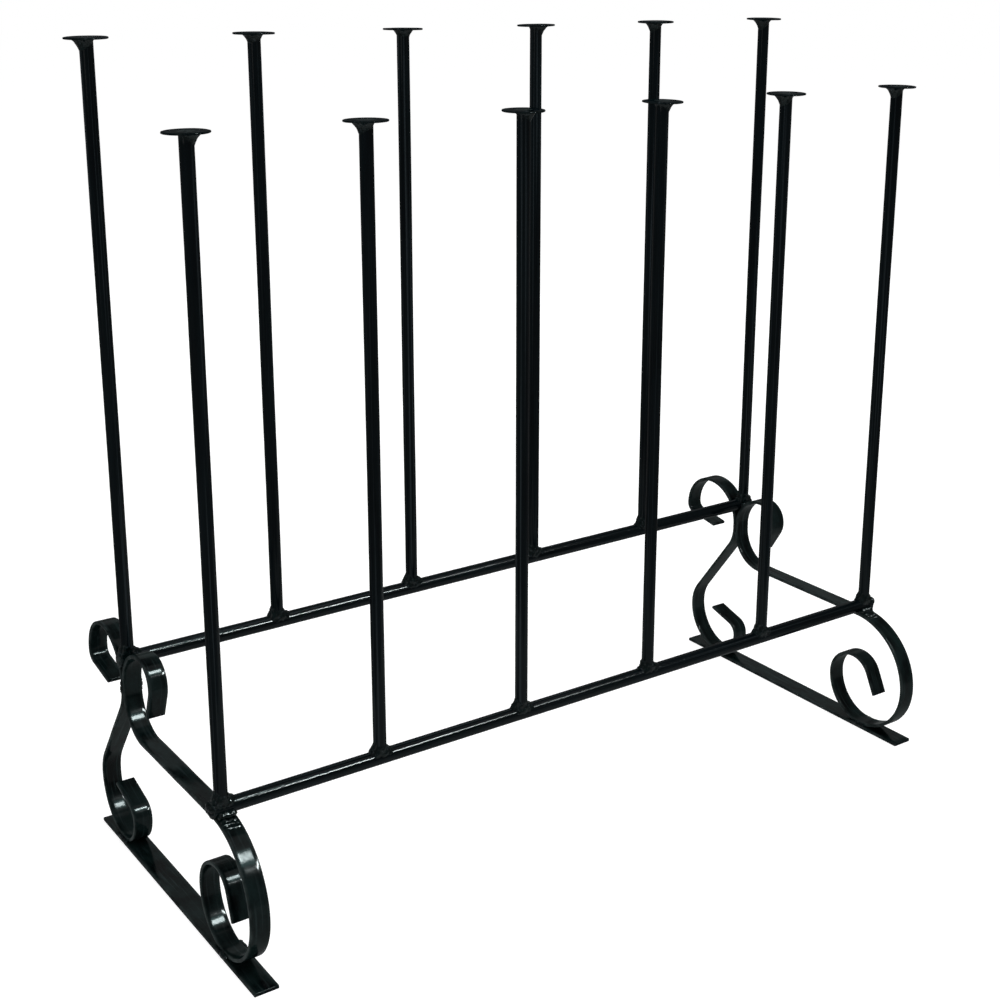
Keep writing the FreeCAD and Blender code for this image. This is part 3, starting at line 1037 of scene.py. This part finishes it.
# the bead in the corner between the front rail and the strip's inner edge
def addCornerBead(bm, end, endNumber, values):
    rail = railShape("front")
    inner = stripEdges(end, 0)[1 - endNumber]
    x = inner + outward[end] * values["cornerInset"]
    bead = values["cornerRadius"]
    forward, back = values["cornerReach"]
    z = rail["low"].z + bead * values["cornerLift"]
    start = Vector((x, rail["middle"].y - rail["radius"] * forward, z))
    finish = Vector((x, rail["middle"].y + rail["radius"] * back, z))
    addBead(bm, start, finish, bead, values["cornerSeed"] + endNumber, values)


# the beads over the front rail's end
def addEndBeads(bm, end, endNumber, values):
    rail = railShape("front")
    tip = (rail["low"].x, rail["high"].x)[endNumber]
    bead = values["endRadius"]
    for lift, share, seed in values["endBeads"]:
        x = tip + outward[end] * values["endOut"] * share - outward[end] * bead * values["endSunk"]
        z = rail["middle"].z + lift
        start = Vector((x, rail["middle"].y - rail["radius"], z))
        finish = Vector((x, rail["middle"].y + rail["radius"], z))
        addBead(bm, start, finish, bead, seed + endNumber, values)


def makeRailWelds(name, row, values):
    bm = bmesh.new()
    for endNumber, end in enumerate(ends):
        addHoldBeads(bm, row, end, endNumber, values)
        if row == "front":
            addRoundBeads(bm, end, endNumber, values)
            addCornerBead(bm, end, endNumber, values)
            addEndBeads(bm, end, endNumber, values)
    finishPiece(name, bm, "weld", [f"{row}_rail_welds"])


waistBeadValues = dict(
    beadValues,
    radius=1.9 * mm,
    inset=0.5 * mm,
    overrun=4,               # how far a bead runs past the waist, in millimetres
    endSeed=5,
)


def makeWaistWelds(name, values):
    bm = bmesh.new()
    bottom = armHeight + scrollValues["armBend"] * mm
    for endNumber, end in enumerate(ends):
        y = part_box(f"{end}_front_scroll")[1].y
        for edgeNumber, x in enumerate(stripEdges(end, values["inset"])):
            start = Vector((x, y, bottom - values["overrun"] * mm))
            finish = Vector((x, y, bottom + (scrollValues["waist"] + values["overrun"]) * mm))
            seed = values["endSeed"] * endNumber + edgeNumber
            addBead(bm, start, finish, values["radius"], seed, values)
    finishPiece(name, bm, "weld", ["waist_welds"])


footBeadValues = dict(
    beadValues,
    radius=2.0 * mm,
    length=17 * mm,
    inset=0.9 * mm,
    lift=0.2 * mm,
    backInset=8 * mm,        # from the back end of the node's box to the middle of the back beads
    endSeed=7,
    edgeSeed=2,
)


def makeFootBeads(name, end, endNumber, values):
    low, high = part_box(f"{end}_foot_welds")
    bm = bmesh.new()
    half = values["length"] / 2
    z = low.z + values["lift"]
    for edgeNumber, x in enumerate((low.x + values["inset"], high.x - values["inset"])):
        for spot, y in enumerate((footTouch[end], high.y - values["backInset"])):
            start = Vector((x, y - half, z))
            finish = Vector((x, y + half, z))
            seed = values["endSeed"] * endNumber + values["edgeSeed"] * edgeNumber + spot
            addBead(bm, start, finish, values["radius"], seed, values)
    finishPiece(name, bm, "weld", [f"{end}_foot_welds"])


for row in rows:
    makeRailWelds(f"{row}RailWelds", row, railBeadValues)
makeWaistWelds("waistWelds", waistBeadValues)
for endNumber, end in enumerate(ends):
    makeFootBeads(f"{end}FootWelds", end, endNumber, footBeadValues)
print("beads are laid")
